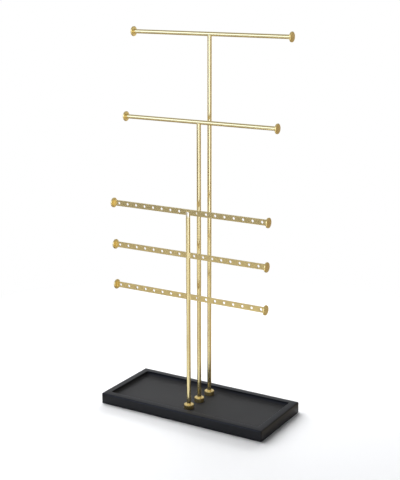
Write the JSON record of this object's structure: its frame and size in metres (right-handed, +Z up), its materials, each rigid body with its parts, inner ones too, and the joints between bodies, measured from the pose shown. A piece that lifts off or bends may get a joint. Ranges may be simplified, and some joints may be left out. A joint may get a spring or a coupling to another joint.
{
  "type": "tiered jewelry organizer",
  "caption": "Jewelry stand: a low rimmed tray with brass posts that carry cross rods for bracelets and necklaces and flat perforated bars for earrings.",
  "frame": {"origin": "middle of the footprint, on the surface that the stand rests on", "axes": "+Z up along the posts, +X along the tray and the bars to the right, -Y the front, where the short post stands"},
  "size_m": [0.2376, 0.1054, 0.4862],
  "materials": {
    "black_lacquer": "satin black lacquer on a routed board",
    "plate_steel": "zinc plated sheet",
    "pad_foam": "matte black foam",
    "satin_brass": "satin pale brass plate",
    "brushed_brass": "matte brushed brass plate",
    "cap_brass": "smooth turned brass plate",
    "screw_steel": "zinc plated"
  },
  "bodies": {
    "base": {"tray": "black_lacquer", "backing_plate": "plate_steel", "base_pad": "pad_foam"},
    "tall_tee": {"tall_post": "satin_brass", "tall_post_collar": "cap_brass", "tall_post_screw": "screw_steel", "tall_post_washer": "screw_steel", "top_rod": "satin_brass", "top_rod_left_cap": "cap_brass", "top_rod_right_cap": "cap_brass"},
    "middle_tee": {"middle_post": "satin_brass", "middle_post_collar": "cap_brass", "middle_post_screw": "screw_steel", "middle_post_washer": "screw_steel", "second_rod": "satin_brass", "second_rod_left_cap": "cap_brass", "second_rod_right_cap": "cap_brass"},
    "earring_rack": {"short_post": "satin_brass", "short_post_collar": "cap_brass", "short_post_screw": "screw_steel", "short_post_washer": "screw_steel", "upper_bar_left": "brushed_brass", "upper_bar_left_cap": "cap_brass", "upper_bar_right": "brushed_brass", "upper_bar_right_cap": "cap_brass", "middle_bar_left": "brushed_brass", "middle_bar_left_cap": "cap_brass", "middle_bar_right": "brushed_brass", "middle_bar_right_cap": "cap_brass", "lower_bar_left": "brushed_brass", "lower_bar_left_cap": "cap_brass", "lower_bar_right": "brushed_brass", "lower_bar_right_cap": "cap_brass"}
  },
  "joints": [
    {"name": "tall_swivel", "type": "hinge", "parent": "base", "child": "tall_tee", "pos_m": [0, 0.0261, 0.0092], "axis": [0, 0, 1], "range_deg": [-180, 180]},
    {"name": "middle_swivel", "type": "hinge", "parent": "base", "child": "middle_tee", "pos_m": [0, 0, 0.0092], "axis": [0, 0, 1], "range_deg": [-75, 75]},
    {"name": "rack_swivel", "type": "hinge", "parent": "base", "child": "earring_rack", "pos_m": [0, -0.0261, 0.0092], "axis": [0, 0, 1], "range_deg": [-75, 75]}
  ]
}
